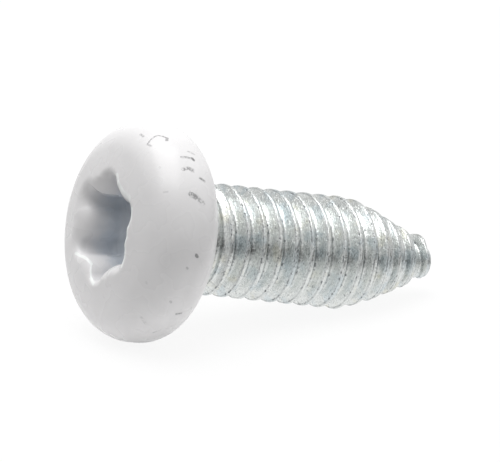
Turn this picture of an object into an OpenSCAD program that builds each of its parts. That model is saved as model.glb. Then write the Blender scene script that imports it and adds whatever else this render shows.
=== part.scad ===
// Appliance screw, No. 10-32 x 1/2 in, one solid piece: painted pan head with a six-lobe drive,
// short plain neck, zinc-plated right-hand thread and a tapered blunt point.
// Units mm, +Z up. The screw lies on its side on z = 0, shank towards +X, resting on the
// rim of its head and on the lowest full crest of its thread.

/* [Head] */
// Diameter over the painted head
head_diameter = 9.4; // [9.1:0.05:9.7]
// Height from the bearing face to the middle of the crown
head_height = 3.85; // [3.6:0.05:4.1]
// Radius of the domed crown
crown_radius = 12.4; // [10.4:0.2:15.4]
// Radius of the soft shoulder between crown and side
shoulder_radius = 1.75; // [1.45:0.05:1.85]
// Radius of the rounded lower rim
rim_radius = 1.4; // [1.1:0.05:1.5]

/* [Drive recess] */
// Width of the six-lobe drive across opposite lobes
recess_across_lobes = 4.5; // [4.4:0.05:4.6]
// Width of the six-lobe drive across opposite flutes
recess_across_flutes = 3.2; // [3.15:0.01:3.25]
// Radius at the end of a lobe
lobe_radius = 0.38; // [0.36:0.01:0.4]
// Depth of the straight wall below the crown
recess_depth = 2.3; // [1.9:0.1:2.4]
// Extra depth of the conical floor at its middle
floor_cone = 0.45; // [0.3:0.05:0.6]
// Radius of the painted mouth's rounding at the end of a lobe
mouth_lobe = 0.4; // [0.3:0.02:0.44]
// Radius of the painted mouth's rounding at the middle of a flute
mouth_flute = 0.8; // [0.6:0.05:0.85]
// Turn of the lobes about the screw's axis, from the side that lies down
recess_turn = 54; // [0:1:59]

/* [Thread] */
// Major diameter over the plated crests
thread_major = 4.82; // [4.74:0.02:4.84]
// Pitch, 32 threads to the inch
thread_pitch = 0.79375; // [0.79375:0.00625:0.8]
// Depth from crest to root
thread_depth = 0.46; // [0.4:0.02:0.48]
// Width of the crest's land as a share of the pitch
crest_share = 0.18; // [0.12:0.01:0.2]
// Place of a crest on the side that lies down, past the bearing face
crest_start = 0.16; // [0.04:0.04:0.28]
// Turns over which the thread runs out below the neck
runout_turns = 1.4; // [1:0.1:1.8]

/* [Neck and point] */
// Length of the plain neck under the head
neck_length = 0.6; // [0.5:0.05:0.7]
// Length over all below the bearing face
shank_length = 12.7; // [12.5:0.05:12.9]
// Where the taper of the point begins, past the bearing face
taper_start = 8.2; // [8.15:0.05:8.4]
// Crest radius where the taper ends
taper_end_radius = 1.14; // [1.06:0.02:1.2]
// Length of the taper
taper_length = 3.4; // [3.3:0.05:3.5]
// Radius of the blunt end where its steep cone begins
end_radius = 0.64; // [0.58:0.02:0.68]
// Length of the steep cone of the blunt end
end_length = 0.4; // [0.35:0.05:0.5]
// How far the blunt end sits off the axis
end_offset = 0.06; // [0:0.02:0.1]

/* [Hidden] */
$fn = 64;
screw_color = [0.86, 0.87, 0.87];

head_r = head_diameter / 2;
crest_r = thread_major / 2;
neck_r = crest_r + 0.02;

// centres of the arcs of the head's section, as [radius, height]
crown_centre = crown_radius - head_height;
shoulder_r = head_r - shoulder_radius;
shoulder_z = crown_centre - sqrt(pow(crown_radius - shoulder_radius, 2) - pow(shoulder_r, 2));
crown_half_angle = asin(shoulder_r / (crown_radius - shoulder_radius));

// lobes and flutes of the drive are arcs that touch
lobe_centre = recess_across_lobes / 2 - lobe_radius;
half_flutes = recess_across_flutes / 2;
flute_radius = (pow(lobe_radius, 2) - pow(lobe_centre, 2) - pow(half_flutes, 2)
    + 2 * lobe_centre * half_flutes * cos(30))
    / (2 * (half_flutes - lobe_radius - lobe_centre * cos(30)));
flute_centre = half_flutes + flute_radius;
lobe_half_arc = atan2(flute_centre * sin(30), flute_centre * cos(30) - lobe_centre);

// section of one pitch of thread: [share of the pitch, share of the depth]
thread_steps = 32;
flank_share = thread_depth * tan(30) / thread_pitch;
root_share = 1 - crest_share - 2 * flank_share;
thread_section = [
    [-crest_share / 2, 1], [crest_share / 2, 1],
    [0.5 - root_share / 2, 0], [0.5, -0.05], [0.5 + root_share / 2, 0]];
section_count = len(thread_section);
seam_angle = 75;
full_turns = floor((shank_length - 0.5) / thread_pitch);
last_station = full_turns * section_count + 2;
taper_slope = (crest_r - taper_end_radius) / taper_length;
end_slope = 0.68;
// blunt end: its width over end_radius and its place before the steep cone, then the nib
end_core = [[0.2, -0.95], [0.12, -0.45], [0, 0]];
nib_radius = 0.16;
nib_length = 0.08;

// rest: the tilt at which the rim of the head and the lowest full crest touch the ground
contact_turn = floor((taper_start - crest_start) / thread_pitch);
contact_z = crest_start + thread_pitch * (contact_turn + crest_share / 2);
rest_rise = head_r - rim_radius - crest_r;
rest_run = contact_z + rim_radius;
rest_tilt = atan2(rest_rise, rest_run) + asin(rim_radius / norm([rest_rise, rest_run]));
rest_height = (head_r - rim_radius) * cos(rest_tilt) - rim_radius * sin(rest_tilt) + rim_radius;
reach_back = crown_radius - crown_centre * cos(rest_tilt);
reach_front = shank_length * cos(rest_tilt) - end_offset * sin(rest_tilt);

// six-lobe outline, flat
module six_lobe_outline() {
    difference() {
        union() {
            polygon([for (k = [0:11]) let (r = k % 2 == 0 ? lobe_centre : flute_centre)
                r * [cos(30 * k), sin(30 * k)]]);
            for (k = [0:5]) rotate(60 * k) translate([lobe_centre, 0]) circle(lobe_radius);
        }
        for (k = [0:5]) rotate(60 * k + 30) translate([flute_centre, 0]) circle(flute_radius);
    }
}

// section of the head and the neck, right of the axis; the bearing face is at 0
module head_section() {
    intersection() {
        translate([0, crown_centre]) circle(crown_radius);
        polygon([[0, 0], [0, -head_height - 1],
            [(head_height + 1 + crown_centre) * tan(crown_half_angle), -head_height - 1],
            [shoulder_r, shoulder_z]]);
    }
    intersection() {
        translate([shoulder_r, shoulder_z]) circle(shoulder_radius);
        translate([0, -head_height]) square([head_r, head_height + shoulder_z]);
    }
    translate([head_r - rim_radius, -rim_radius]) circle(rim_radius);
    polygon([[0, 0], [shoulder_r, shoulder_z], [head_r, shoulder_z],
        [head_r, -rim_radius], [head_r - rim_radius, -rim_radius], [head_r - rim_radius, 0]]);
    square([neck_r, neck_length]);
}

// straight six-lobe socket with a conical floor
module recess_socket() {
    intersection() {
        translate([0, 0, -head_height - 1])
            linear_extrude(recess_depth + floor_cone + 1) six_lobe_outline();
        rotate_extrude()
            polygon([[0, -head_height - 1], [recess_across_lobes, -head_height - 1],
                [recess_across_lobes, -head_height + recess_depth - floor_cone],
                [0, -head_height + recess_depth + floor_cone]]);
    }
}

// height of the crown's surface at a distance from the axis
function crown_z(r) = crown_centre - sqrt(crown_radius * crown_radius - r * r);

// point of the mouth's rounding, by the arc that it stands on: centre, radius, direction, and
// side 1 where the rounding widens the arc or -1 where it narrows it. bend is 0 on the wall and
// 90 on the crown, and reach runs on along the tangent there.
function mouth_point(centre, radius, way, side, soft, bend, reach) =
    let (grow = soft * (1 - cos(bend)) + reach * sin(bend),
        depth = soft * (1 - sin(bend)) - reach * cos(bend),
        p = centre + (radius + side * grow) * [cos(way), sin(way)])
    [p[0], p[1], crown_z(norm(p)) + depth];

// the rounding is tight at the end of a lobe, place 0, and soft at the middle of a flute, place 1
function softness(place) = mouth_lobe + (mouth_flute - mouth_lobe) * place;

// one ring of the mouth, lobe by lobe and flute by flute
function mouth_ring(bend, reach) = [for (k = [0:5]) each concat(
    [for (a = [-1:1/3:1.01]) mouth_point(lobe_centre * [cos(60 * k), sin(60 * k)],
        lobe_radius, 60 * k + a * lobe_half_arc, 1, softness(a * a / 2), bend, reach)],
    [for (a = [0.5:-0.5:-0.5]) mouth_point(flute_centre * [cos(60 * k + 30), sin(60 * k + 30)],
        flute_radius, 60 * k + 210 + a * (lobe_half_arc - 30), -1, softness(1 - a * a / 2), bend, reach)])];

// rounded mouth that follows the lobes and the dome
module recess_mouth() {
    last_bend = 76;
    rings = [for (ring = [[0, -0.3], [0, 0], [20, 0], [40, 0], [60, 0], [last_bend, 0], [last_bend, 0.25]])
        mouth_ring(ring[0], ring[1])];
    levels = len(rings);
    count = len(rings[0]);
    points = concat([for (ring = rings) each ring],
        [for (p = rings[levels - 1]) [p[0], p[1], -head_height - 0.6]]);
    faces = concat(
        [[for (j = [0:count - 1]) count - 1 - j]],
        [for (i = [0:levels - 1]) each [for (j = [0:count - 1]) each [
            [i * count + j, i * count + (j + 1) % count, (i + 1) * count + (j + 1) % count],
            [i * count + j, (i + 1) * count + (j + 1) % count, (i + 1) * count + j]]]],
        [[for (j = [0:count - 1]) levels * count + j]]);
    polyhedron(points, faces, convexity = 6);
}

// crest radius along the screw
function envelope(z) =
    z < taper_start ? crest_r :
    z < taper_start + taper_length ? crest_r - (z - taper_start) * taper_slope :
    taper_end_radius - (z - taper_start - taper_length) * end_slope;

// depth of the thread along the screw: run-out under the neck, shallower on the point
function depth_at(z) = thread_depth
    * min(1, max(0, (z - neck_length) / (runout_turns * thread_pitch)))
    * (1 - 0.45 * min(1, max(0, (z - taper_start) / taper_length)));

// place of station k on meridian i; the stations climb by one pitch a turn
function station_z(i, k) = crest_start + thread_pitch * (seam_angle / 360 - 1
    + floor(k / section_count) + thread_section[k % section_count][0] + i / thread_steps);
function station_r(z, k) = k == last_station ? 0.12
    : envelope(z) - depth_at(z) * (1 - thread_section[k % section_count][1]);
function station(i, k) = let (z = station_z(i, k), r = station_r(z, k),
    a = seam_angle + 360 * i / thread_steps) [r * cos(a), r * sin(a), z];

// threaded shank: meridians side by side, each one a step further along the helix,
// so that crest and root edges run unbroken from the neck to the point
module threaded_shank() {
    row = last_station + 1;
    start = thread_steps * row;
    finish = start + 1;
    top = thread_steps - 1;
    skip = section_count;
    points = concat(
        [for (i = [0:top]) each [for (k = [0:last_station]) station(i, k)]],
        [[0, 0, station_z(0, 0) - 0.3], [0, 0, station_z(top, last_station) - 0.2]]);
    faces = concat(
        [for (i = [0:top - 1]) each [for (k = [0:last_station - 1]) each [
            [i * row + k, i * row + k + 1, (i + 1) * row + k + 1],
            [i * row + k, (i + 1) * row + k + 1, (i + 1) * row + k]]]],
        [for (k = [0:last_station - skip - 1]) each [
            [top * row + k, top * row + k + 1, k + skip + 1],
            [top * row + k, k + skip + 1, k + skip]]],
        [for (i = [0:top - 1]) [start, i * row, (i + 1) * row]],
        [[start, top * row, skip]],
        [for (k = [0:skip - 1]) [start, k + 1, k]],
        [for (i = [0:top - 1]) [finish, (i + 1) * row + last_station, i * row + last_station]],
        [[finish, last_station, top * row + last_station - skip]],
        [for (k = [last_station - skip:last_station - 1]) [finish, top * row + k, top * row + k + 1]]);
    polyhedron(points, faces, convexity = 20);
}

// turned core of the blunt end, in which the last turn dies away
module blunt_end() {
    base = shank_length - end_length;
    translate([end_offset, 0, 0])
        rotate_extrude()
            polygon(concat([[0, base + end_core[0][1]]],
                [for (p = end_core) [end_radius + p[0], base + p[1]]],
                [[nib_radius, shank_length - nib_length], [0, shank_length]]));
}

// the whole screw upright on its axis, head down
module screw_on_axis() {
    difference() {
        union() {
            rotate_extrude() head_section();
            threaded_shank();
            blunt_end();
        }
        rotate(recess_turn) {
            recess_socket();
            recess_mouth();
        }
    }
}

// the screw as it comes to rest
module screw() {
    color(screw_color)
        translate([(reach_back - reach_front) / 2, 0, rest_height])
            rotate([0, 90 + rest_tilt, 0]) screw_on_axis();
}

screw();
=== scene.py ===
import math
import bpy
import numpy as np
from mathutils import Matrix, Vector, noise


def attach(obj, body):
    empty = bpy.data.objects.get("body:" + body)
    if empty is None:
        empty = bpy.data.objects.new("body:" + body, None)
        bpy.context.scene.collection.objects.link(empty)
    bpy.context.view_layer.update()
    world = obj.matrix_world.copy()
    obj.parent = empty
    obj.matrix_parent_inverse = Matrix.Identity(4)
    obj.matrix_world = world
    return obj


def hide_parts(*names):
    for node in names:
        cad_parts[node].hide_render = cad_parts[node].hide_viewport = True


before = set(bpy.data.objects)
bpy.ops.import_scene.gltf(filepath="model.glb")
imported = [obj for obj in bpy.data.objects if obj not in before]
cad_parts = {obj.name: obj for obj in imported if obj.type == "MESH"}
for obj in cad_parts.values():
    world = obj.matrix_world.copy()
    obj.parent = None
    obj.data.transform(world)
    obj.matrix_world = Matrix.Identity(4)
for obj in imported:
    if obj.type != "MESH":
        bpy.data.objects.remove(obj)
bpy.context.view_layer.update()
print("frame loaded")

# All shapes are in millimetres on the screw's own axis: z = 0 is the bearing face, z runs to
# the tip, x points to the side that lies down. placeOnFloor turns that into the shared frame.
headShape = {
    "radius": 4.7, "height": 3.85, "crownRadius": 12.4, "shoulderRadius": 1.75, "rimRadius": 1.4,
    "neckFillet": 0.12,
    "acrossLobes": 4.5, "acrossFlutes": 3.2, "lobeRadius": 0.38, "depth": 2.3, "floorCone": 0.45,
    # rounding of the painted mouth, lobe by lobe and at the flute after each lobe, in mm; how far
    # the rounding stops short of the wall, which leaves a crisp edge, in degrees; how much deeper
    # than wide the rounding is
    "lobeSoft": (0.40, 0.60, 0.40, 0.45, 0.42, 0.32),
    "fluteSoft": (0.88, 0.80, 0.82, 0.86, 0.80, 0.72),
    "lobeEdge": (0, 0, 12, 0, 0, 30), "fluteEdge": (0, 0, 0, 0, 0, 40),
    "lobeLong": (1, 1, 1, 1, 1, 1), "fluteLong": (1, 1.4, 1.35, 2.0, 1.4, 1),
    "closeDepth": 1.0,
    "floorFillet": 0.22, "turn": 54,
    "lobeColumns": 46, "fluteColumns": 26,      # grid columns on each lobe and on each flute
    "waveDepth": 0.014, "waveSize": 1.1,        # slow waves of the paint film
}
threadShape = {
    "crestRadius": 2.41, "neckRadius": 2.43, "pitch": 0.79375, "depth": 0.46, "crestShare": 0.18,
    "crestStart": 0.16, "runoutTurns": 1.4, "neckLength": 0.6, "length": 12.7,
    "taperStart": 8.2, "endOffset": 0.06,
    # along the taper: radius of the crests, depth of the groove, core of the blunt end, sideways lean
    "crests": ([8.2, 9.44, 10.22, 10.98, 11.37, 11.6, 11.85, 11.92, 12.0, 12.1, 12.7],
               [2.41, 1.99, 1.64, 1.34, 1.11, 1.14, 1.16, 1.02, 0.80, 0.70, 0.4]),
    "depths": ([8.2, 9.6, 11.0, 11.5], [0.46, 0.36, 0.32, 0.42]),
    "crestShift": ([9.0, 9.6], [0.0, 0.1]),
    "endCore": ([11.3, 11.8, 12.3, 12.45, 12.6, 12.7], [0.80, 0.73, 0.64, 0.38, 0.17, 0.0]),
    "lean": ([12.0, 12.6], [0.0, 0.066]),
    "columns": 128, "rowsPerPitch": 24,
    "nicks": 90, "nickDepth": 0.035,            # small dents along the crests
}

# rest: the rim of the head and the lowest full crest touch the floor
crestBeforeTaper = math.floor(
    (threadShape["taperStart"] - threadShape["crestStart"]) / threadShape["pitch"])
contactZ = threadShape["crestStart"] + threadShape["pitch"] * (
    crestBeforeTaper + threadShape["crestShare"] / 2)
rimCentre = headShape["radius"] - headShape["rimRadius"]
rise, run = rimCentre - threadShape["crestRadius"], contactZ + headShape["rimRadius"]
tilt = math.atan2(rise, run) + math.asin(headShape["rimRadius"] / math.hypot(rise, run))
crownCentre = headShape["crownRadius"] - headShape["height"]
shiftX = (headShape["crownRadius"] - crownCentre * math.cos(tilt)
          - threadShape["length"] * math.cos(tilt) + threadShape["endOffset"] * math.sin(tilt)) / 2
shiftZ = (rimCentre * math.cos(tilt) - headShape["rimRadius"] * math.sin(tilt)
          + headShape["rimRadius"])
millimetre = 0.001


def placeOnFloor(points):
    x, y, z = points[..., 0], points[..., 1], points[..., 2]
    return millimetre * np.stack([
        z * math.cos(tilt) - x * math.sin(tilt) + shiftX,
        y,
        shiftZ - x * math.cos(tilt) - z * math.sin(tilt)], axis=-1)


def smoothStep(low, high, value):
    t = np.clip((value - low) / (high - low), 0, 1)
    return t * t * (3 - 2 * t)


def softMin(a, b, reach):
    near = np.maximum(reach - np.abs(a - b), 0) / reach
    return np.minimum(a, b) - near * near * reach / 4


def noiseAt(points, size, shift=0.0):
    return np.array([noise.noise(Vector(p) / size + Vector((shift, 0, 0))) for p in points])


def weld(points, faces, extra=None):
    # points that fall together become one, and faces that vanish go
    keys = np.round(points, 6)
    unused, first, where = np.unique(keys, axis=0, return_index=True, return_inverse=True)
    where = where.reshape(-1)
    kept = []
    for face in faces:
        ring = [where[v] for v in face]
        ring = [v for n, v in enumerate(ring) if v != ring[n - 1]]
        if len(ring) > 2:
            kept.append(ring)
    return points[first], kept, None if extra is None else extra[first]


def addPiece(name, points, faces, material, marks=None):
    points, faces, marks = weld(points, faces, marks)
    mesh = bpy.data.meshes.new(name)
    mesh.from_pydata(placeOnFloor(points).tolist(), [], [[int(v) for v in f] for f in faces])
    if marks is not None:
        layer = mesh.attributes.new("threadForm", "FLOAT_VECTOR", "POINT")
        layer.data.foreach_set("vector", marks.astype(np.float32).reshape(-1))
    mesh.validate()
    mesh.shade_smooth()
    piece = bpy.data.objects.new(name, mesh)
    bpy.context.scene.collection.objects.link(piece)
    mesh.materials.append(material)
    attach(piece, "root")
    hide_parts("screw")
    print(name, len(mesh.polygons), "faces")
    return piece


# small helpers for the node trees
def addNode(tree, kind, inputs=None, **settings):
    made = tree.nodes.new(kind)
    for key, value in settings.items():
        setattr(made, key, value)
    for key, value in (inputs or {}).items():
        if isinstance(value, bpy.types.NodeSocket):
            tree.links.new(value, made.inputs[key])
        else:
            made.inputs[key].default_value = value
    return made


def maths(tree, operation, first, second=0.0, third=0.0, clamp=False):
    return addNode(tree, "ShaderNodeMath", {0: first, 1: second, 2: third},
                   operation=operation, use_clamp=clamp).outputs[0]


def vectors(tree, operation, first, second=(0, 0, 0), output=0):
    return addNode(tree, "ShaderNodeVectorMath", {0: first, 1: second},
                   operation=operation).outputs[output]


def mapRange(tree, value, fromLow, fromHigh, toLow=0.0, toHigh=1.0, kind="SMOOTHSTEP"):
    return addNode(tree, "ShaderNodeMapRange", {
        "Value": value, "From Min": fromLow, "From Max": fromHigh,
        "To Min": toLow, "To Max": toHigh}, interpolation_type=kind).outputs["Result"]


def mixColours(tree, mask, first, second, blend="MIX"):
    mix = addNode(tree, "ShaderNodeMix", {0: mask}, data_type="RGBA", blend_type=blend)
    for key, value in ((6, first), (7, second)):
        if isinstance(value, bpy.types.NodeSocket):
            tree.links.new(value, mix.inputs[key])
        else:
            mix.inputs[key].default_value = (*value, 1)
    return mix.outputs[2]


def newGroup(name, inputs, outputs):
    group = bpy.data.node_groups.new(name, "ShaderNodeTree")
    for label, kind, value in inputs:
        socket = group.interface.new_socket(name=label, in_out="INPUT", socket_type=kind)
        socket.default_value = value
    for label, kind in outputs:
        group.interface.new_socket(name=label, in_out="OUTPUT", socket_type=kind)
    return group, group.nodes.new("NodeGroupInput"), group.nodes.new("NodeGroupOutput")


def useGroup(tree, group, inputs=None):
    placed = addNode(tree, "ShaderNodeGroup", node_tree=group)
    for key, value in (inputs or {}).items():
        if isinstance(value, bpy.types.NodeSocket):
            tree.links.new(value, placed.inputs[key])
        else:
            placed.inputs[key].default_value = value
    return placed


# screw frame: the point in millimetres on the screw's own axis
screwFrame, entry, leave = newGroup("screwFrame", [], [
    ("Position", "NodeSocketVector"), ("Radius", "NodeSocketFloat"), ("Along", "NodeSocketFloat")])
place = addNode(screwFrame, "ShaderNodeTexCoord")
local = addNode(screwFrame, "ShaderNodeMapping", {
    "Vector": place.outputs["Object"],
    "Location": (shiftX * millimetre, 0, shiftZ * millimetre),
    "Rotation": (0, math.pi / 2 + tilt, 0), "Scale": (millimetre,) * 3}, vector_type="TEXTURE")
flat = vectors(screwFrame, "MULTIPLY", local.outputs[0], (1, 1, 0))
screwFrame.links.new(local.outputs[0], leave.inputs["Position"])
screwFrame.links.new(vectors(screwFrame, "LENGTH", flat, output=1), leave.inputs["Radius"])
parts = addNode(screwFrame, "ShaderNodeSeparateXYZ", {0: local.outputs[0]})
screwFrame.links.new(parts.outputs["Z"], leave.inputs["Along"])

# scratch: a ragged mark between two points
scratch, entry, leave = newGroup("scratch", [
    ("Position", "NodeSocketVector", (0, 0, 0)), ("Start", "NodeSocketVector", (0, 0, 0)),
    ("End", "NodeSocketVector", (0, 0, 1)), ("Width", "NodeSocketFloat", 0.1),
    ("Ragged", "NodeSocketFloat", 0.1), ("Broken", "NodeSocketFloat", 0.5)],
    [("Mask", "NodeSocketFloat")])
wobble = addNode(scratch, "ShaderNodeTexNoise", {
    "Vector": entry.outputs["Position"], "Scale": 9.0, "Detail": 3.0})
span = vectors(scratch, "SUBTRACT", entry.outputs["End"], entry.outputs["Start"])
reach = vectors(scratch, "SUBTRACT", entry.outputs["Position"], entry.outputs["Start"])
along = maths(scratch, "DIVIDE", vectors(scratch, "DOT_PRODUCT", reach, span, output=1),
              vectors(scratch, "DOT_PRODUCT", span, span, output=1), clamp=True)
foot = addNode(scratch, "ShaderNodeVectorMath", {0: span, 3: along}, operation="SCALE").outputs[0]
away = vectors(scratch, "LENGTH", vectors(scratch, "SUBTRACT", reach, foot), output=1)
rough = maths(scratch, "MULTIPLY", maths(scratch, "SUBTRACT", wobble.outputs[0], 0.5),
              entry.outputs["Ragged"])
edge = maths(scratch, "ADD", away, rough)
line = mapRange(scratch, edge, entry.outputs["Width"],
                maths(scratch, "MULTIPLY", entry.outputs["Width"], 0.6))
gaps = maths(scratch, "MULTIPLY", mapRange(scratch, wobble.outputs[0], 0.50, 0.43),
             entry.outputs["Broken"])
scratch.links.new(maths(scratch, "MULTIPLY", line, maths(scratch, "SUBTRACT", 1.0, gaps)),
                  leave.inputs["Mask"])

# spots: scattered specks of one size
spots, entry, leave = newGroup("spots", [
    ("Position", "NodeSocketVector", (0, 0, 0)), ("Scale", "NodeSocketFloat", 4.0),
    ("Level", "NodeSocketFloat", 0.6), ("Blur", "NodeSocketFloat", 0.06)],
    [("Mask", "NodeSocketFloat")])
grain = addNode(spots, "ShaderNodeTexNoise", {
    "Vector": entry.outputs["Position"], "Scale": entry.outputs["Scale"], "Detail": 4.0,
    "Roughness": 0.62})
spots.links.new(
    mapRange(spots, grain.outputs[0], entry.outputs["Level"],
             maths(spots, "ADD", entry.outputs["Level"], entry.outputs["Blur"])),
    leave.inputs["Mask"])


def newMaterial(name):
    material = bpy.data.materials.new(name)
    material.use_nodes = True
    tree = material.node_tree
    return material, tree, tree.nodes["Principled BSDF"]


def finishSurface(tree, shader, colour, roughness, metallic, height, distance):
    tree.links.new(colour, shader.inputs["Base Color"])
    tree.links.new(roughness, shader.inputs["Roughness"])
    tree.links.new(metallic, shader.inputs["Metallic"])
    bump = addNode(tree, "ShaderNodeBump", {
        "Height": height, "Strength": 1.0, "Distance": distance})
    tree.links.new(bump.outputs[0], shader.inputs["Normal"])


# white paint over the head, thin and grey deep in the recess, scraped down to the steel in places,
# with painted highlights along the mouth's edges
paintLook = {
    "white": (0.81, 0.802, 0.806), "shade": (0.79, 0.781, 0.785), "thin": (0.66, 0.70, 0.75),
    "bare": (0.19, 0.19, 0.195), "roughness": 0.27, "edgeHighlight": (0.97, 0.99, 0.98),
    "thinStart": -3.1, "thinEnd": -1.9,
}
# marks: points in mm, width, raggedness, how broken, how dark
paintMarks = [
    ([(-4.06, -1.09, -2.88), (-4.23, -0.98, -2.72), (-4.37, -0.92, -2.53), (-4.45, -0.94, -2.37),
      (-4.47, -1.12, -2.22), (-4.45, -1.32, -2.11)], 0.055, 0.16, 0.75, 0.75),
    ([(-4.45, -1.30, -2.12), (-4.38, -1.43, -2.20)], 0.08, 0.08, 0.2, 0.65),
    ([(-4.26, -0.23, -2.82), (-4.24, -0.49, -2.81)], 0.07, 0.10, 0.6, 0.5),
    ([(-4.05, -1.11, -2.89), (-4.05, -1.33, -2.82)], 0.06, 0.10, 0.6, 0.5),
    ([(-3.97, -2.47, -1.93), (-3.98, -2.49, -1.65), (-3.96, -2.51, -1.45)], 0.07, 0.20, 0.7, 0.8),
    ([(-3.96, -2.51, -1.42), (-3.92, -2.58, -1.38)], 0.08, 0.08, 0.2, 0.9),
    ([(-3.56, -3.00, -2.02), (-3.62, -2.98, -1.75), (-3.57, -3.05, -1.61)], 0.12, 0.36, 0.85, 0.7),
    ([(-3.32, -3.31, -1.30), (-3.24, -3.35, -1.11)], 0.08, 0.12, 0.5, 0.7),
    ([(-2.71, -3.82, -1.86), (-2.62, -3.89, -1.63)], 0.16, 0.40, 0.75, 0.75),
    ([(-2.56, -3.93, -1.53), (-2.42, -4.01, -1.31)], 0.13, 0.40, 0.9, 0.55),
    ([(-0.30, -4.68, -1.49), (-0.25, -4.68, -1.43)], 0.09, 0.12, 0.3, 0.75),
    ([(0.28, -4.68, -1.80), (0.31, -4.68, -1.76)], 0.06, 0.06, 0.2, 0.4),
    ([(1.90, -4.26, -1.99), (1.93, -4.25, -1.95)], 0.07, 0.08, 0.2, 0.4),
    ([(2.48, -3.99, -1.42), (2.41, -4.02, -1.21)], 0.07, 0.10, 0.5, 0.7),
    ([(3.60, -3.00, -1.75), (3.42, -3.22, -1.57)], 0.06, 0.10, 0.6, 0.5),
    ([(-2.56, -3.32, -2.91), (-2.62, -3.42, -2.78)], 0.05, 0.06, 0.4, 0.25),
    ([(-3.42, -2.47, -2.87), (-3.40, -2.50, -2.84)], 0.07, 0.06, 0.2, 0.3),
    ([(1.30, -3.79, -3.07), (1.33, -3.79, -3.03)], 0.07, 0.08, 0.3, 0.25),
    ([(2.94, -3.28, -2.64), (3.19, -3.25, -2.36)], 0.09, 0.24, 0.8, 0.25),
    ([(-4.17, -2.16, -1.48), (-4.09, -2.27, -1.23)], 0.06, 0.14, 0.7, 0.4),
]
# painted highlight: lines along the mouth's edge where the paint is made lighter to stand in for light
# caught by the rim: points, width
paintedEdgeHighlights = [
    ([(-1.41, -2.09, -3.54), (-0.98, -2.23, -3.55), (-0.55, -2.17, -3.59),
      (-0.35, -2.23, -3.59), (-0.24, -2.27, -3.58), (-0.12, -2.25, -3.59),
      (0.09, -2.23, -3.59), (0.59, -2.38, -3.55), (1.02, -2.3, -3.54)], 0.13),
    ([(-2.35, -0.34, -3.57), (-2.1, -0.6, -3.59), (-2.03, -0.78, -3.58), (-1.98, -0.91, -3.58),
      (-1.91, -1.05, -3.58), (-1.85, -1.2, -3.59), (-1.77, -1.7, -3.55)], 0.20),
    ([(1.60, 1.74, -3.53), (1.60, 1.31, -3.50), (1.59, 0.81, -3.47), (1.71, 0.54, -3.38)], 0.09),
    ([(1.71, 0.54, -3.38), (1.98, 0.31, -3.48), (2.25, 0.08, -3.51)], 0.045),
    ([(2.25, 0.08, -3.51), (2.39, -0.31, -3.56)], 0.09),
]
paintMaterial, tree, shader = newMaterial("whitePaint")
where = useGroup(tree, screwFrame)
cloud = addNode(tree, "ShaderNodeTexNoise", {
    "Vector": where.outputs["Position"], "Scale": 0.9, "Detail": 1.5})
colour = mixColours(tree, mapRange(tree, cloud.outputs[0], 0.25, 0.75),
                    paintLook["white"], paintLook["shade"])
ragged = addNode(tree, "ShaderNodeTexNoise", {
    "Vector": where.outputs["Position"], "Scale": 2.2, "Detail": 5.0})
depthNow = maths(tree, "ADD", where.outputs["Along"],
                 maths(tree, "MULTIPLY", maths(tree, "SUBTRACT", ragged.outputs[0], 0.5), 0.9))
thin = mapRange(tree, depthNow, paintLook["thinStart"], paintLook["thinEnd"])
inside = mapRange(tree, where.outputs["Radius"], 2.5, 2.3)
thin = maths(tree, "MULTIPLY", thin, inside)
colour = mixColours(tree, thin, colour, paintLook["thin"])
marks = None
for points, width, raggedness, broken, darkness in paintMarks:
    for start, end in zip(points, points[1:]):
        mark = useGroup(tree, scratch, {
            "Position": where.outputs["Position"], "Start": start, "End": end, "Width": width,
            "Ragged": raggedness, "Broken": broken})
        mark = maths(tree, "MULTIPLY", mark.outputs["Mask"], darkness)
        marks = mark if marks is None else maths(tree, "MAXIMUM", marks, mark)
# painted highlight: the paint turns lighter along these lines at the mouth's edge
highlightMask = None
for points, width in paintedEdgeHighlights:
    for start, end in zip(points, points[1:]):
        highlightLine = useGroup(tree, scratch, {
            "Position": where.outputs["Position"], "Start": start, "End": end,
            "Width": width, "Ragged": 0.02, "Broken": 0.0}).outputs["Mask"]
        highlightMask = highlightLine if highlightMask is None else maths(tree, "MAXIMUM", highlightMask, highlightLine)
colour = mixColours(tree, highlightMask, colour, paintLook["edgeHighlight"])
colour = mixColours(tree, marks, colour, paintLook["bare"])
fine = addNode(tree, "ShaderNodeTexNoise", {
    "Vector": where.outputs["Position"], "Scale": 5.0, "Detail": 4.0})
gloss = mapRange(tree, cloud.outputs[0], 0.3, 0.7, paintLook["roughness"] - 0.04,
                 paintLook["roughness"] + 0.06, "LINEAR")
finishSurface(tree, shader, colour, maths(tree, "ADD", gloss, maths(tree, "MULTIPLY", marks, 0.25)),
              maths(tree, "MULTIPLY", marks, 0.5), fine.outputs[0], 0.005 * millimetre)

# zinc plate on neck, thread and point, with painted shade in the thread roots
zincLook = {
    "silver": (0.83, 0.85, 0.835), "blue": (0.69, 0.745, 0.76), "yellow": (0.78, 0.78, 0.71),
    "dull": (0.59, 0.63, 0.63), "groove": (0.17, 0.185, 0.195), "roughness": 0.21,
    "speckScale": 12.0, "speckDarkness": 0.36,
    "corner": -0.115, "cornerWidth": 0.040, "root": 0.5, "rootShadeWidth": 0.080,   # dark line at the crest corner and painted shade in the thread root, in pitches
}
zincMaterial, tree, shader = newMaterial("zincPlate")
where = useGroup(tree, screwFrame)
form = addNode(tree, "ShaderNodeAttribute", attribute_name="threadForm")
form = addNode(tree, "ShaderNodeSeparateXYZ", {0: form.outputs["Vector"]})
share = maths(tree, "DIVIDE", maths(tree, "ARCTAN2", form.outputs["Y"], form.outputs["Z"]),
              2 * math.pi)                              # 0 on the crest, below 0 on the head side
around = vectors(tree, "MULTIPLY", where.outputs["Position"], (1.0, 1.0, 9.0))
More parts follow.
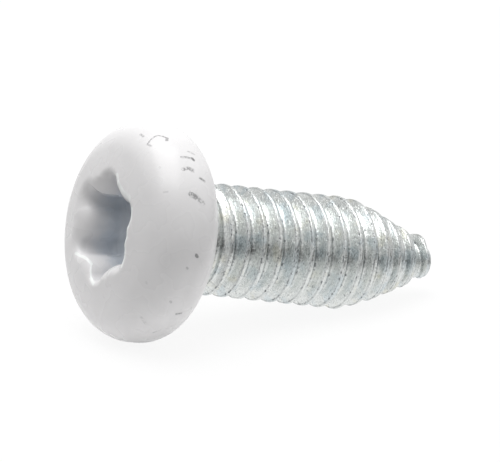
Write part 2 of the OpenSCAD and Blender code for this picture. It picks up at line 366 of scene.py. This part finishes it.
streaks = addNode(tree, "ShaderNodeTexNoise", {"Vector": around, "Scale": 1.6, "Detail": 6.0,
                                               "Roughness": 0.65})
tint = addNode(tree, "ShaderNodeTexNoise", {
    "Vector": where.outputs["Position"], "Scale": 1.1, "Detail": 3.0})
colour = mixColours(tree, mapRange(tree, tint.outputs[0], 0.5, 0.36),
                    zincLook["silver"], zincLook["blue"])
colour = mixColours(tree, mapRange(tree, tint.outputs[0], 0.58, 0.70), colour, zincLook["yellow"])
grain = useGroup(tree, spots, {"Position": where.outputs["Position"], "Scale": 7.0,
                               "Level": 0.50, "Blur": 0.16})
pits = useGroup(tree, spots, {"Position": where.outputs["Position"], "Scale": 4.5,
                              "Level": 0.62, "Blur": 0.08})
corner = mapRange(tree, maths(tree, "ABSOLUTE", maths(tree, "SUBTRACT", share, zincLook["corner"])),
                  zincLook["cornerWidth"], 0.4 * zincLook["cornerWidth"])
# painted shade: a dark line along each thread root
root = mapRange(tree, maths(tree, "SUBTRACT", zincLook["root"], maths(tree, "ABSOLUTE", share)),
                zincLook["rootShadeWidth"], 0.3 * zincLook["rootShadeWidth"])
plain = mapRange(tree, where.outputs["Along"], 0.5, 0.9)
lines = maths(tree, "MULTIPLY", maths(tree, "MAXIMUM", corner, root), plain)
dotted = maths(tree, "ADD", maths(tree, "MULTIPLY", grain.outputs[0], 0.75), 0.25)
specks = addNode(tree, "ShaderNodeTexNoise", {
    "Vector": where.outputs["Position"], "Scale": zincLook["speckScale"], "Detail": 2.0})
specks = mapRange(tree, specks.outputs[0], 0.52, 0.72)
pits = maths(tree, "MAXIMUM", pits.outputs[0],
             maths(tree, "MULTIPLY", specks, zincLook["speckDarkness"] / 0.55))
# dark marks: pits, specks and crest-corner lines, plus the painted shade in the thread roots
darkMarksAndRootShade = maths(tree, "MAXIMUM", maths(tree, "MULTIPLY", lines, dotted),
             maths(tree, "MULTIPLY", pits, 0.55), clamp=True)
colour = mixColours(tree, mapRange(tree, streaks.outputs[0], 0.35, 0.7, 0.0, 0.4), colour,
                    zincLook["dull"])
colour = mixColours(tree, darkMarksAndRootShade, colour, zincLook["groove"])
bumps = maths(tree, "ADD", streaks.outputs[0], maths(tree, "MULTIPLY", grain.outputs[0], -0.35))
bumps = maths(tree, "ADD", bumps, maths(tree, "MULTIPLY", specks, -0.2))
finishSurface(tree, shader, colour,
              mapRange(tree, streaks.outputs[0], 0.3, 0.7, zincLook["roughness"] - 0.06,
                       zincLook["roughness"] + 0.12, "LINEAR"),
              mapRange(tree, darkMarksAndRootShade, 0.0, 1.0, 1.0, 0.6), bumps, 0.02 * millimetre)
print("materials made")


# painted head: a grid of rings from the neck round the rim and crown into the recess
def mouthArcs():
    shape = headShape
    lobeCentre = shape["acrossLobes"] / 2 - shape["lobeRadius"]
    halfFlutes = shape["acrossFlutes"] / 2
    cos30 = math.cos(math.radians(30))
    fluteRadius = (shape["lobeRadius"] ** 2 - lobeCentre ** 2 - halfFlutes ** 2
                   + 2 * lobeCentre * halfFlutes * cos30) / (
                       2 * (halfFlutes - shape["lobeRadius"] - lobeCentre * cos30))
    fluteCentre = halfFlutes + fluteRadius
    halfArc = math.degrees(math.atan2(fluteCentre / 2, fluteCentre * cos30 - lobeCentre))
    mouthValues = ("Soft", "Edge", "Long")
    arcs = []
    for k in range(6):
        after, before = (k + 1) % 6, k - 1
        for n in range(shape["lobeColumns"]):
            a = 2 * n / shape["lobeColumns"] - 1
            near = before if a < 0 else k           # the flute on this side of the lobe
            arcs.append([lobeCentre, 60 * k, shape["lobeRadius"], 60 * k + a * halfArc, 1]
                        + [shape["lobe" + what][k] * (1 - a * a / 2)
                           + shape["flute" + what][near] * a * a / 2 for what in mouthValues])
        for n in range(shape["fluteColumns"]):
            a = 1 - 2 * n / shape["fluteColumns"]
            near = k if a > 0 else after            # the lobe on this side of the flute
            arcs.append([fluteCentre, 60 * k + 30, fluteRadius,
                         60 * k + 210 + a * (halfArc - 30), -1]
                        + [shape["flute" + what][k] * (1 - a * a / 2)
                           + shape["lobe" + what][near] * a * a / 2 for what in mouthValues])
    return np.array(arcs).T


def headRings():
    shape = headShape
    centre, centreAngle, arcRadius, way, side, soft, stop, long = mouthArcs()
    columns = len(centre)
    perLobe = columns // 6
    outer = np.radians((np.arange(columns) - shape["lobeColumns"] / 2) * 60 / perLobe)
    crown = lambda r: crownCentre - np.sqrt(shape["crownRadius"] ** 2 - r ** 2)
    rings = []

    def circle(r, z):
        rings.append(np.stack([r * np.cos(outer), r * np.sin(outer), np.full(columns, z)], -1))

    def mouth(grow, z):
        flat = np.stack([
            centre * np.cos(np.radians(centreAngle))
            + (arcRadius + side * grow) * np.cos(np.radians(way)),
            centre * np.sin(np.radians(centreAngle))
            + (arcRadius + side * grow) * np.sin(np.radians(way))], -1)
        r = np.hypot(flat[:, 0], flat[:, 1])
        height = z(r)
        return np.concatenate([flat, height[:, None]], axis=1)

    neck, fillet = threadShape["neckRadius"] - 0.03, shape["neckFillet"]
    circle(0, fillet)
    for t in np.linspace(0, 1, 4)[1:]:
        circle(neck * t, fillet)
    for a in np.linspace(0, math.pi / 2, 6)[1:]:
        circle(neck + fillet * (1 - math.cos(a)), fillet * (1 - math.sin(a)))
    for r in np.linspace(neck + fillet, rimCentre, 10)[1:]:
        circle(r, 0)
    for a in np.linspace(0, math.pi / 2, 26)[1:]:
        circle(rimCentre + shape["rimRadius"] * math.sin(a),
               -shape["rimRadius"] * (1 - math.cos(a)))
    shoulderR = shape["radius"] - shape["shoulderRadius"]
    shoulderZ = crownCentre - math.sqrt(
        (shape["crownRadius"] - shape["shoulderRadius"]) ** 2 - shoulderR ** 2)
    halfAngle = math.asin(shoulderR / (shape["crownRadius"] - shape["shoulderRadius"]))
    for z in np.linspace(-shape["rimRadius"], shoulderZ, 4)[1:]:
        circle(shape["radius"], z)
    for a in np.linspace(0, math.pi / 2 - halfAngle, 26)[1:]:
        circle(shoulderR + shape["shoulderRadius"] * math.cos(a),
               shoulderZ - shape["shoulderRadius"] * math.sin(a))
    edge = rings[-1]
    lip = mouth(soft, crown)
    for t in np.linspace(0, 1, 13)[1:]:
        flat = edge[:, :2] * (1 - t) + lip[:, :2] * t
        r = np.hypot(flat[:, 0], flat[:, 1])
        rings.append(np.concatenate([flat, crown(r)[:, None]], axis=1))
    for t in np.linspace(1, 0, 16)[1:]:
        bend = np.radians(stop + (90 - stop) * t)
        rings.append(mouth(soft * (1 - np.cos(bend)),
                           lambda r: crown(r) + soft * long * (1 - np.sin(bend))))
    lowest = rings[-1][:, 2]
    stepOut = soft * (1 - np.cos(np.radians(stop)))
    fluteFloor = -shape["height"] + shape["depth"] - 0.1
    floorEdge = fluteFloor - shape["floorFillet"]
    for t in np.linspace(0, 1, 23)[1:]:
        z = lowest * (1 - t) + floorEdge * t
        closing = np.clip(1 - (z - lowest) / shape["closeDepth"], 0, 1)
        rings.append(mouth(stepOut * closing, lambda r: z))
    for a in np.linspace(0, math.pi / 2, 6)[1:]:
        shrink = shape["floorFillet"] * (1 - math.cos(a))
        rings.append(mouth(-shrink * 0.7, lambda r: np.full(
            columns, floorEdge + shape["floorFillet"] * math.sin(a))))
    last = rings[-1]
    for t in np.linspace(0, 1, 9)[1:]:
        ring = last * (1 - t)
        ring[:, 2] = last[:, 2] + (shape["floorCone"] + 0.1) * t
        rings.append(ring)
    turn = math.radians(shape["turn"])
    grid = np.array(rings)
    x, y = grid[..., 0].copy(), grid[..., 1].copy()
    grid[..., 0] = x * math.cos(turn) - y * math.sin(turn)
    grid[..., 1] = x * math.sin(turn) + y * math.cos(turn)
    return grid


def gridNormals(grid):
    down = np.gradient(grid, axis=0)
    across = np.roll(grid, -1, axis=1) - np.roll(grid, 1, axis=1)
    normal = np.cross(down, across)
    size = np.linalg.norm(normal, axis=-1, keepdims=True)
    return normal / np.maximum(size, 1e-9)


headGrid = headRings()
levels, columns = headGrid.shape[:2]
waves = noiseAt(headGrid.reshape(-1, 3), headShape["waveSize"]).reshape(levels, columns)
outwards = gridNormals(headGrid)
if np.sum(outwards[45, :, :2] * headGrid[45, :, :2]) < 0:
    outwards = -outwards
headGrid = headGrid - outwards * (headShape["waveDepth"] * (0.7 + 0.5 * waves))[..., None]
headGrid[0] = headGrid[0].mean(axis=0)
headGrid[-1] = headGrid[-1].mean(axis=0)
headFaces = [(i * columns + j, (i + 1) * columns + j, (i + 1) * columns + (j + 1) % columns,
              i * columns + (j + 1) % columns)
             for i in range(levels - 1) for j in range(columns)]
addPiece("paintedHead", headGrid.reshape(-1, 3), headFaces, paintMaterial)


# threaded shank: rows climb with the thread, so crests and roots are unbroken lines
def shankRadius(z, share):
    shape = threadShape
    share = share - np.interp(z, *shape["crestShift"])
    taper = np.clip((z - shape["taperStart"]) / 3.4, 0, 1)
    runout = np.clip((z - shape["neckLength"]) / (shape["runoutTurns"] * shape["pitch"]), 0, 1)
    depth = np.interp(z, *shape["depths"]) * runout
    flank = shape["depth"] * (1 - 0.5 * taper) * math.tan(math.radians(30)) / shape["pitch"]
    crest = shape["crestShare"] + 0.26 * smoothStep(0.05, 0.5, taper) * (1 - smoothStep(0.8, 1, taper))
    line = (crest / 2 + flank - np.abs(share)) / flank
    height = softMin(line, np.ones_like(line), 0.16)
    height = -softMin(-height, np.zeros_like(line), 0.3)
    height = height - 0.12 * smoothStep(0.1, 0.5, taper) * np.exp(-(share / 0.05) ** 2)
    radius = np.interp(z, *shape["crests"]) - depth * (1 - height)
    radius = np.where(z < shape["neckLength"], shape["neckRadius"], radius)
    coreStart = shape["endCore"][0][0]
    core = np.where(z < coreStart, 0, np.interp(z, *shape["endCore"]))
    fade = 1 - smoothStep(12.3, 12.5, z)
    radius = np.maximum(radius * fade, core)
    radius = np.where((z < -0.3) | (z >= shape["length"]), 0, radius)
    return radius, height


def buildShank():
    shape = threadShape
    count, perPitch = shape["columns"], shape["rowsPerPitch"]
    rows = int(math.ceil((shape["length"] + 2.2) / shape["pitch"])) * perPitch
    i = np.arange(count)[:, None]
    k = np.arange(rows)[None, :]
    share = (k % perPitch) / perPitch - 0.5 + 0 * i
    firstTurn = math.floor((-1.2 - shape["crestStart"]) / shape["pitch"])
    z = shape["crestStart"] + shape["pitch"] * (firstTurn + k // perPitch + share + i / count)
    angle = 2 * np.pi * i / count + 0 * k
    radius, height = shankRadius(z, share)
    rng = np.random.default_rng(11)
    for n in range(shape["nicks"]):
        at = rng.uniform(1.2, 11.5)
        nickAngle = (at - shape["crestStart"]) / shape["pitch"] * 2 * math.pi
        far = np.abs((angle - nickAngle + np.pi) % (2 * np.pi) - np.pi) * 2.4
        width = rng.uniform(0.05, 0.16)
        dent = np.exp(-(far / width) ** 2 - ((z - at) / 0.07) ** 2)
        radius = radius - shape["nickDepth"] * rng.uniform(0.3, 1) * dent * (radius > 0)
    z = np.clip(z, -0.3, shape["length"])
    points = np.stack([radius * np.cos(angle), radius * np.sin(angle), z], -1)
    points[..., 0] += np.interp(z, *shape["lean"])
    flatPoints = points.reshape(-1, 3)
    wave = noiseAt(flatPoints, 0.9, 7.0).reshape(count, rows)
    shrink = 1 - 0.008 * (0.5 + 0.5 * wave) / 2.4
    points[..., :2] *= shrink[..., None]
    points[radius == 0] = np.where((points[..., 2] < 5)[..., None], (0, 0, -0.3),
                                   (shape["lean"][1][-1], 0, shape["length"]))[radius == 0]
    faces = [(a * rows + b, a * rows + b + 1, (a + 1) * rows + b + 1, (a + 1) * rows + b)
             for a in range(count - 1) for b in range(rows - 1)]
    last = (count - 1) * rows
    faces += [(last + b, last + b + 1, b + 1 + perPitch, b + perPitch)
              for b in range(rows - 1 - perPitch)]
    addPiece("threadedShank", points.reshape(-1, 3), faces, zincMaterial,
             marks=np.stack([height, np.sin(2 * np.pi * share), np.cos(2 * np.pi * share)],
                            -1).reshape(-1, 3))


buildShank()

# floor, light and camera
stageLook = {
    "cameraAzimuth": -27.4, "cameraElevation": 17.6, "distance": 0.85, "fieldWidth": 0.021204,
    "target": (-1.2489, -1.4204, 4.4558),
    "floorDarkFrom": 4, "floorDarkTo": 20,     # the plating mirrors a dark room past the table
    "bounceFrom": 8, "bounceTo": 26,            # light comes back only from the floor nearby
}
floorMesh = bpy.data.meshes.new("floor")
half = 0.6
floorMesh.from_pydata([(-half, -half, 0), (half, -half, 0), (half, half, 0), (-half, half, 0)],
                      [], [(0, 1, 2, 3)])
floor = bpy.data.objects.new("floor", floorMesh)
bpy.context.scene.collection.objects.link(floor)
floorMaterial = bpy.data.materials.new("paleFloor")
floorMaterial.use_nodes = True
tree = floorMaterial.node_tree
tree.nodes.clear()
spot = addNode(tree, "ShaderNodeTexCoord").outputs["Object"]
path = addNode(tree, "ShaderNodeLightPath")
bounce = mapRange(tree, vectors(tree, "LENGTH", spot, output=1), stageLook["bounceFrom"] * millimetre,
                  stageLook["bounceTo"] * millimetre, 0.88, 0.08)
bounce = maths(tree, "MAXIMUM", bounce, maths(tree, "MULTIPLY", path.outputs["Is Camera Ray"], 0.88))
diffuse = addNode(tree, "ShaderNodeBsdfDiffuse", {"Color": bounce})
ahead = vectors(tree, "DOT_PRODUCT", spot, (0.35, -0.93, 0), output=1)
farFloor = mapRange(tree, ahead, stageLook["floorDarkFrom"] * millimetre,
                    stageLook["floorDarkTo"] * millimetre, 0.96, 0.0)
mirrored = addNode(tree, "ShaderNodeMix", {0: path.outputs["Is Glossy Ray"], 2: 1.0, 3: farFloor})
white = addNode(tree, "ShaderNodeEmission", {"Color": (1, 1, 1, 1), "Strength": mirrored.outputs[0]})
seen = maths(tree, "MAXIMUM", maths(tree, "MULTIPLY", path.outputs["Is Camera Ray"], 0.90),
             path.outputs["Is Glossy Ray"])
blendIn = addNode(tree, "ShaderNodeMixShader", {0: seen, 1: diffuse.outputs[0], 2: white.outputs[0]})
addNode(tree, "ShaderNodeOutputMaterial", {"Surface": blendIn.outputs[0]})
floorMesh.materials.append(floorMaterial)

world = bpy.data.worlds.new("studio")
bpy.context.scene.world = world
world.use_nodes = True
tree = world.node_tree
tree.nodes.clear()
worldLook = {
    # what lights the paint: axis, side and strength of each wide lobe
    "lobes": (("X", 1, 1.0), ("Y", 1, 1.0), ("Y", -1, 0.3), ("Z", 1, 1.0)),
    "glossBack": 1.0, "glossBackHigh": 0.55, "glossFront": 0.0, "glossFrontHigh": 0.76,
    "glossRise": (0.0, 0.24),                  # how high the dark front band ends
}
direction = addNode(tree, "ShaderNodeTexCoord").outputs["Generated"]
facing = vectors(tree, "DOT_PRODUCT", direction, (0.35, -0.93, 0.05), output=1)
axes = addNode(tree, "ShaderNodeSeparateXYZ", {0: direction}).outputs
up = axes["Z"]
level = 0.0
for axis, sign, strength in worldLook["lobes"]:
    lobe = maths(tree, "MAXIMUM", maths(tree, "MULTIPLY", axes[axis], sign), 0.0)
    lobe = maths(tree, "MULTIPLY", maths(tree, "MULTIPLY", lobe, lobe), strength)
    level = maths(tree, "ADD", level, lobe)
glossBack = mapRange(tree, up, 0.1, 0.6, worldLook["glossBack"], worldLook["glossBackHigh"])
glossFront = mapRange(tree, up, *worldLook["glossRise"], worldLook["glossFront"],
                      worldLook["glossFrontHigh"])
gloss = addNode(tree, "ShaderNodeMix", {0: mapRange(tree, facing, -0.1, 0.6), 2: glossBack,
                                        3: glossFront}).outputs[0]
path = addNode(tree, "ShaderNodeLightPath")
strength = addNode(tree, "ShaderNodeMix", {0: path.outputs["Is Glossy Ray"], 2: level, 3: gloss})
strength = addNode(tree, "ShaderNodeMix", {0: path.outputs["Is Camera Ray"],
                                           2: strength.outputs[0], 3: 1.0})
back = addNode(tree, "ShaderNodeBackground", {"Color": (1, 1, 1, 1), "Strength": strength.outputs[0]})
addNode(tree, "ShaderNodeOutputWorld", {"Surface": back.outputs[0]})


def addSoftbox(name, position, target, size, watts):
    lamp = bpy.data.lights.new(name, "AREA")
    lamp.shape, lamp.size, lamp.size_y, lamp.energy = "RECTANGLE", size[0], size[1], watts
    box = bpy.data.objects.new(name, lamp)
    bpy.context.scene.collection.objects.link(box)
    box.location = position
    box.rotation_euler = (Vector(target) - Vector(position)).to_track_quat("-Z", "Y").to_euler()


addSoftbox("topBox", (-0.04, 0.03, 0.35), (0, 0, 0.004), (0.36, 0.30), 0.95)

azimuth = math.radians(stageLook["cameraAzimuth"])
elevation = math.radians(stageLook["cameraElevation"])
towards = Vector((math.sin(azimuth) * math.cos(elevation), -math.cos(azimuth) * math.cos(elevation),
                  math.sin(elevation)))
target = Vector(stageLook["target"]) * millimetre
cameraData = bpy.data.cameras.new("camera")
cameraData.sensor_width = 36
cameraData.lens = 36 * stageLook["distance"] / stageLook["fieldWidth"]
camera = bpy.data.objects.new("camera", cameraData)
bpy.context.scene.collection.objects.link(camera)
camera.location = target + towards * stageLook["distance"]
camera.rotation_euler = (-towards).to_track_quat("-Z", "Y").to_euler()
bpy.context.scene.camera = camera
bpy.context.scene.view_settings.view_transform = "Standard"
